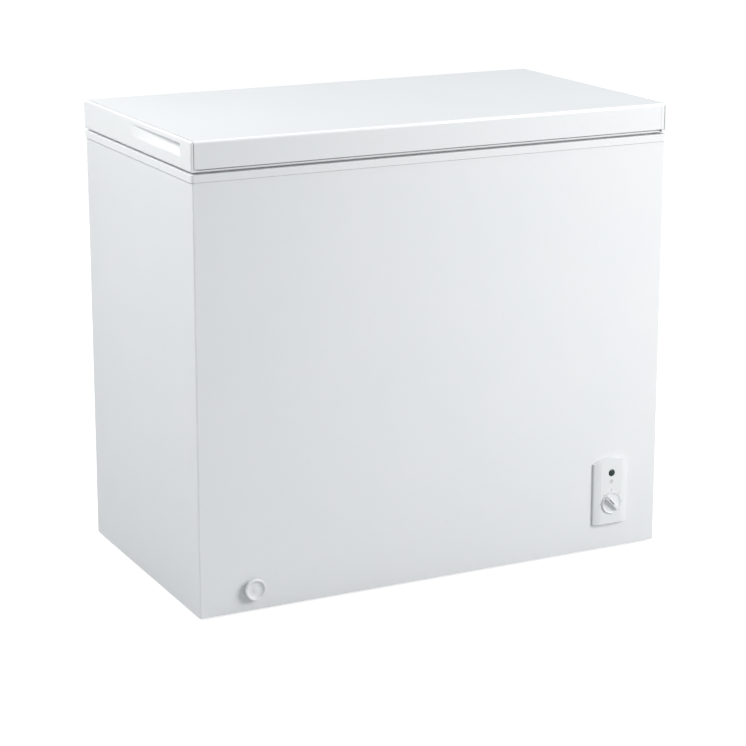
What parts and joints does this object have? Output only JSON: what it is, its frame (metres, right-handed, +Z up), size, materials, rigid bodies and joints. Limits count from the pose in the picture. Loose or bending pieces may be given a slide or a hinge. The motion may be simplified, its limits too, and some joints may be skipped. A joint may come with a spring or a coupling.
{
  "type": "chest freezer",
  "caption": "White chest freezer with a lift-up lid on spring hinges, hand scoops in the lid ends, dial and lamp low at the front right, and a drain low at the left.",
  "frame": {"origin": "on the floor, under the middle of the whole object's box", "axes": "+X to the right as seen from the front, +Y from the front to the back, +Z up"},
  "size_m": [0.945, 0.564, 0.85],
  "materials": {
    "white_steel": "gloss",
    "white_plastic": "satin",
    "liner_white": "satin",
    "liner_plastic": "satin",
    "grey_plastic": "matte",
    "zinc": "satin",
    "foam": "matte",
    "copper": "satin",
    "aluminium": "satin",
    "black_steel": "satin",
    "black_plastic": "matte",
    "rubber": "matte",
    "white_rubber": "matte",
    "green_lens": "gloss",
    "coated_wire": "satin"
  },
  "bodies": {
    "cabinet": {"base_pan": "zinc", "cabinet_foam": "foam", "collar": "white_plastic", "compartment_partition": "zinc", "compressor_grommet_1": "rubber", "compressor_grommet_2": "rubber", "compressor_grommet_3": "rubber", "compressor_grommet_4": "rubber", "compressor_housing": "black_steel", "compressor_rail": "zinc", "condenser_coil": "copper", "control_bezel": "white_plastic", "cord_inlet_bush": "black_plastic", "discharge_tube": "copper", "drain_escutcheon": "white_plastic", "drain_pipe": "grey_plastic", "evaporator_coil": "aluminium", "filter_drier": "copper", "foam_plug_left": "grey_plastic", "foam_plug_right": "grey_plastic", "foot_front_left": "black_plastic", "foot_front_right": "black_plastic", "foot_rear_left": "black_plastic", "foot_rear_right": "black_plastic", "hinge_housing_left": "zinc", "hinge_housing_right": "zinc", "hinge_pin_left": "zinc", "hinge_pin_right": "zinc", "hinge_spring_left": "zinc", "hinge_spring_right": "zinc", "indicator_lens": "green_lens", "inner_liner": "liner_white", "lamp_holder": "black_plastic", "outer_shell": "white_steel", "rear_grille": "grey_plastic", "rear_panel": "zinc", "sensing_tube": "copper", "side_vent": "white_plastic", "starter_box": "black_plastic", "suction_tube": "copper", "thermostat_body": "zinc"},
    "lid": {"lid_panel": "white_steel", "lid_end_cap_left": "white_plastic", "lid_end_cap_right": "white_plastic", "lid_foam": "foam", "lid_liner": "liner_plastic", "lid_gasket": "white_rubber", "hinge_arm_left": "zinc", "hinge_arm_right": "zinc"},
    "left_plunger": {"hinge_plunger_left": "grey_plastic"},
    "right_plunger": {"hinge_plunger_right": "grey_plastic"},
    "knob": {"thermostat_knob": "white_plastic", "thermostat_shaft": "aluminium"},
    "drain_slider": {"drain_stem": "grey_plastic"},
    "drain_turner": {"drain_cap": "white_plastic"},
    "floor_stopper": {"floor_drain_plug": "grey_plastic"},
    "basket": {"hanging_basket": "coated_wire"}
  },
  "joints": [
    {"name": "lid_hinge", "type": "hinge", "parent": "cabinet", "child": "lid", "pos_m": [0, 0.274, 0.797], "axis": [-1, 0, 0], "range_deg": [0, 80], "stiffness_Nm_per_rad": 5.5, "springref_deg": 85.94},
    {"name": "plunger_left_slide", "type": "slide", "parent": "cabinet", "child": "left_plunger", "axis": [0, 0, 1], "range_m": [0, 0.0136], "deforming": ["hinge_spring_left"]},
    {"name": "plunger_right_slide", "type": "slide", "parent": "cabinet", "child": "right_plunger", "axis": [0, 0, 1], "range_m": [0, 0.0136], "deforming": ["hinge_spring_right"]},
    {"name": "dial_turn", "type": "hinge", "parent": "cabinet", "child": "knob", "pos_m": [0.367, -0.2705, 0.096], "axis": [0, 1, 0], "range_deg": [-315, 0]},
    {"name": "drain_pull", "type": "slide", "parent": "cabinet", "child": "drain_slider", "axis": [0, -1, 0], "range_m": [0, 0.025]},
    {"name": "drain_cap_turn", "type": "hinge", "parent": "drain_slider", "child": "drain_turner", "pos_m": [-0.368, -0.2665, 0.0455], "axis": [0, 1, 0], "range_deg": [0, 180]},
    {"name": "floor_plug_lift", "type": "slide", "parent": "cabinet", "child": "floor_stopper", "axis": [0, 0, 1], "range_m": [0, 0.04]},
    {"name": "basket_slide", "type": "slide", "parent": "cabinet", "child": "basket", "axis": [-1, 0, 0], "range_m": [0, 0.56]}
  ],
  "couplings": [
    {"joint": "plunger_left_slide", "follows": "lid_hinge", "m_per_rad": 0.009668},
    {"joint": "plunger_right_slide", "follows": "lid_hinge", "m_per_rad": 0.009668}
  ]
}
